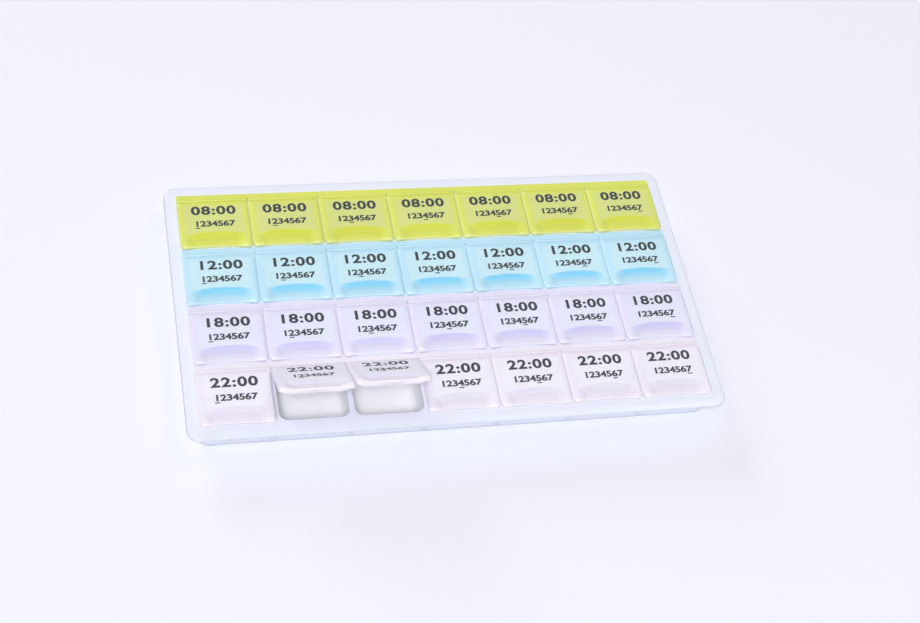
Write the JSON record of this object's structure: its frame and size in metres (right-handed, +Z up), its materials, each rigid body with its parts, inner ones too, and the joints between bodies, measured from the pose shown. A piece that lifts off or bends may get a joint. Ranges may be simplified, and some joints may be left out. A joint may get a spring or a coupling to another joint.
{
  "type": "weekly pill box",
  "caption": "Flat weekly pill box: a clear tray of wells under rows of flip-up lids, a colour for each time of day, each lid hinged at its back edge.",
  "frame": {"origin": "middle of the underside that the box stands on", "axes": "+X along the days, from the first to the last; +Y to the back, where the morning row is; +Z up"},
  "size_m": [0.22, 0.125, 0.0314],
  "materials": {
    "tray_polystyrene": "clear moulded polystyrene, slightly milky",
    "morning_polypropylene": "yellow-green translucent polypropylene, fine frosted panel",
    "noon_polypropylene": "light blue translucent polypropylene, fine frosted panel",
    "evening_polypropylene": "pale lavender translucent polypropylene, fine frosted panel",
    "night_polypropylene": "pale pink translucent polypropylene, fine frosted panel"
  },
  "bodies": {
    "tray": {"tray": "tray_polystyrene", "hinge_bar_morning": "morning_polypropylene", "hinge_bar_noon": "noon_polypropylene", "hinge_bar_evening": "evening_polypropylene", "hinge_bar_night": "night_polypropylene"},
    "lid_morning_1": {"lid_morning_1": "morning_polypropylene"},
    "lid_morning_2": {"lid_morning_2": "morning_polypropylene"},
    "lid_morning_3": {"lid_morning_3": "morning_polypropylene"},
    "lid_morning_4": {"lid_morning_4": "morning_polypropylene"},
    "lid_morning_5": {"lid_morning_5": "morning_polypropylene"},
    "lid_morning_6": {"lid_morning_6": "morning_polypropylene"},
    "lid_morning_7": {"lid_morning_7": "morning_polypropylene"},
    "lid_noon_1": {"lid_noon_1": "noon_polypropylene"},
    "lid_noon_2": {"lid_noon_2": "noon_polypropylene"},
    "lid_noon_3": {"lid_noon_3": "noon_polypropylene"},
    "lid_noon_4": {"lid_noon_4": "noon_polypropylene"},
    "lid_noon_5": {"lid_noon_5": "noon_polypropylene"},
    "lid_noon_6": {"lid_noon_6": "noon_polypropylene"},
    "lid_noon_7": {"lid_noon_7": "noon_polypropylene"},
    "lid_evening_1": {"lid_evening_1": "evening_polypropylene"},
    "lid_evening_2": {"lid_evening_2": "evening_polypropylene"},
    "lid_evening_3": {"lid_evening_3": "evening_polypropylene"},
    "lid_evening_4": {"lid_evening_4": "evening_polypropylene"},
    "lid_evening_5": {"lid_evening_5": "evening_polypropylene"},
    "lid_evening_6": {"lid_evening_6": "evening_polypropylene"},
    "lid_evening_7": {"lid_evening_7": "evening_polypropylene"},
    "lid_night_1": {"lid_night_1": "night_polypropylene"},
    "lid_night_2": {"lid_night_2": "night_polypropylene"},
    "lid_night_3": {"lid_night_3": "night_polypropylene"},
    "lid_night_4": {"lid_night_4": "night_polypropylene"},
    "lid_night_5": {"lid_night_5": "night_polypropylene"},
    "lid_night_6": {"lid_night_6": "night_polypropylene"},
    "lid_night_7": {"lid_night_7": "night_polypropylene"}
  },
  "joints": [
    {"name": "hinge_morning_1", "type": "hinge", "parent": "tray", "child": "lid_morning_1", "pos_m": [-0.09, 0.0543, 0.01545], "axis": [-1, 0, 0], "range_deg": [0, 110]},
    {"name": "hinge_morning_2", "type": "hinge", "parent": "tray", "child": "lid_morning_2", "pos_m": [-0.06, 0.0543, 0.01545], "axis": [-1, 0, 0], "range_deg": [0, 110]},
    {"name": "hinge_morning_3", "type": "hinge", "parent": "tray", "child": "lid_morning_3", "pos_m": [-0.03, 0.0543, 0.01545], "axis": [-1, 0, 0], "range_deg": [0, 110]},
    {"name": "hinge_morning_4", "type": "hinge", "parent": "tray", "child": "lid_morning_4", "pos_m": [0, 0.0543, 0.01545], "axis": [-1, 0, 0], "range_deg": [0, 110]},
    {"name": "hinge_morning_5", "type": "hinge", "parent": "tray", "child": "lid_morning_5", "pos_m": [0.03, 0.0543, 0.01545], "axis": [-1, 0, 0], "range_deg": [0, 110]},
    {"name": "hinge_morning_6", "type": "hinge", "parent": "tray", "child": "lid_morning_6", "pos_m": [0.06, 0.0543, 0.01545], "axis": [-1, 0, 0], "range_deg": [0, 110]},
    {"name": "hinge_morning_7", "type": "hinge", "parent": "tray", "child": "lid_morning_7", "pos_m": [0.09, 0.0543, 0.01545], "axis": [-1, 0, 0], "range_deg": [0, 110]},
    {"name": "hinge_noon_1", "type": "hinge", "parent": "tray", "child": "lid_noon_1", "pos_m": [-0.09, 0.02555, 0.01545], "axis": [-1, 0, 0], "range_deg": [0, 110]},
    {"name": "hinge_noon_2", "type": "hinge", "parent": "tray", "child": "lid_noon_2", "pos_m": [-0.06, 0.02555, 0.01545], "axis": [-1, 0, 0], "range_deg": [0, 110]},
    {"name": "hinge_noon_3", "type": "hinge", "parent": "tray", "child": "lid_noon_3", "pos_m": [-0.03, 0.02555, 0.01545], "axis": [-1, 0, 0], "range_deg": [0, 110]},
    {"name": "hinge_noon_4", "type": "hinge", "parent": "tray", "child": "lid_noon_4", "pos_m": [0, 0.02555, 0.01545], "axis": [-1, 0, 0], "range_deg": [0, 110]},
    {"name": "hinge_noon_5", "type": "hinge", "parent": "tray", "child": "lid_noon_5", "pos_m": [0.03, 0.02555, 0.01545], "axis": [-1, 0, 0], "range_deg": [0, 110]},
    {"name": "hinge_noon_6", "type": "hinge", "parent": "tray", "child": "lid_noon_6", "pos_m": [0.06, 0.02555, 0.01545], "axis": [-1, 0, 0], "range_deg": [0, 110]},
    {"name": "hinge_noon_7", "type": "hinge", "parent": "tray", "child": "lid_noon_7", "pos_m": [0.09, 0.02555, 0.01545], "axis": [-1, 0, 0], "range_deg": [0, 110]},
    {"name": "hinge_evening_1", "type": "hinge", "parent": "tray", "child": "lid_evening_1", "pos_m": [-0.09, -0.0032, 0.01545], "axis": [-1, 0, 0], "range_deg": [0, 110]},
    {"name": "hinge_evening_2", "type": "hinge", "parent": "tray", "child": "lid_evening_2", "pos_m": [-0.06, -0.0032, 0.01545], "axis": [-1, 0, 0], "range_deg": [0, 110]},
    {"name": "hinge_evening_3", "type": "hinge", "parent": "tray", "child": "lid_evening_3", "pos_m": [-0.03, -0.0032, 0.01545], "axis": [-1, 0, 0], "range_deg": [0, 110]},
    {"name": "hinge_evening_4", "type": "hinge", "parent": "tray", "child": "lid_evening_4", "pos_m": [0, -0.0032, 0.01545], "axis": [-1, 0, 0], "range_deg": [0, 110]},
    {"name": "hinge_evening_5", "type": "hinge", "parent": "tray", "child": "lid_evening_5", "pos_m": [0.03, -0.0032, 0.01545], "axis": [-1, 0, 0], "range_deg": [0, 110]},
    {"name": "hinge_evening_6", "type": "hinge", "parent": "tray", "child": "lid_evening_6", "pos_m": [0.06, -0.0032, 0.01545], "axis": [-1, 0, 0], "range_deg": [0, 110]},
    {"name": "hinge_evening_7", "type": "hinge", "parent": "tray", "child": "lid_evening_7", "pos_m": [0.09, -0.0032, 0.01545], "axis": [-1, 0, 0], "range_deg": [0, 110]},
    {"name": "hinge_night_1", "type": "hinge", "parent": "tray", "child": "lid_night_1", "pos_m": [-0.09, -0.03195, 0.01545], "axis": [-1, 0, 0], "range_deg": [0, 110]},
    {"name": "hinge_night_2", "type": "hinge", "parent": "tray", "child": "lid_night_2", "pos_m": [-0.06, -0.03195, 0.01545], "axis": [-1, 0, 0], "range_deg": [-36, 74]},
    {"name": "hinge_night_3", "type": "hinge", "parent": "tray", "child": "lid_night_3", "pos_m": [-0.03, -0.03195, 0.01545], "axis": [-1, 0, 0], "range_deg": [-39, 71]},
    {"name": "hinge_night_4", "type": "hinge", "parent": "tray", "child": "lid_night_4", "pos_m": [0, -0.03195, 0.01545], "axis": [-1, 0, 0], "range_deg": [0, 110]},
    {"name": "hinge_night_5", "type": "hinge", "parent": "tray", "child": "lid_night_5", "pos_m": [0.03, -0.03195, 0.01545], "axis": [-1, 0, 0], "range_deg": [0, 110]},
    {"name": "hinge_night_6", "type": "hinge", "parent": "tray", "child": "lid_night_6", "pos_m": [0.06, -0.03195, 0.01545], "axis": [-1, 0, 0], "range_deg": [0, 110]},
    {"name": "hinge_night_7", "type": "hinge", "parent": "tray", "child": "lid_night_7", "pos_m": [0.09, -0.03195, 0.01545], "axis": [-1, 0, 0], "range_deg": [0, 110]}
  ]
}
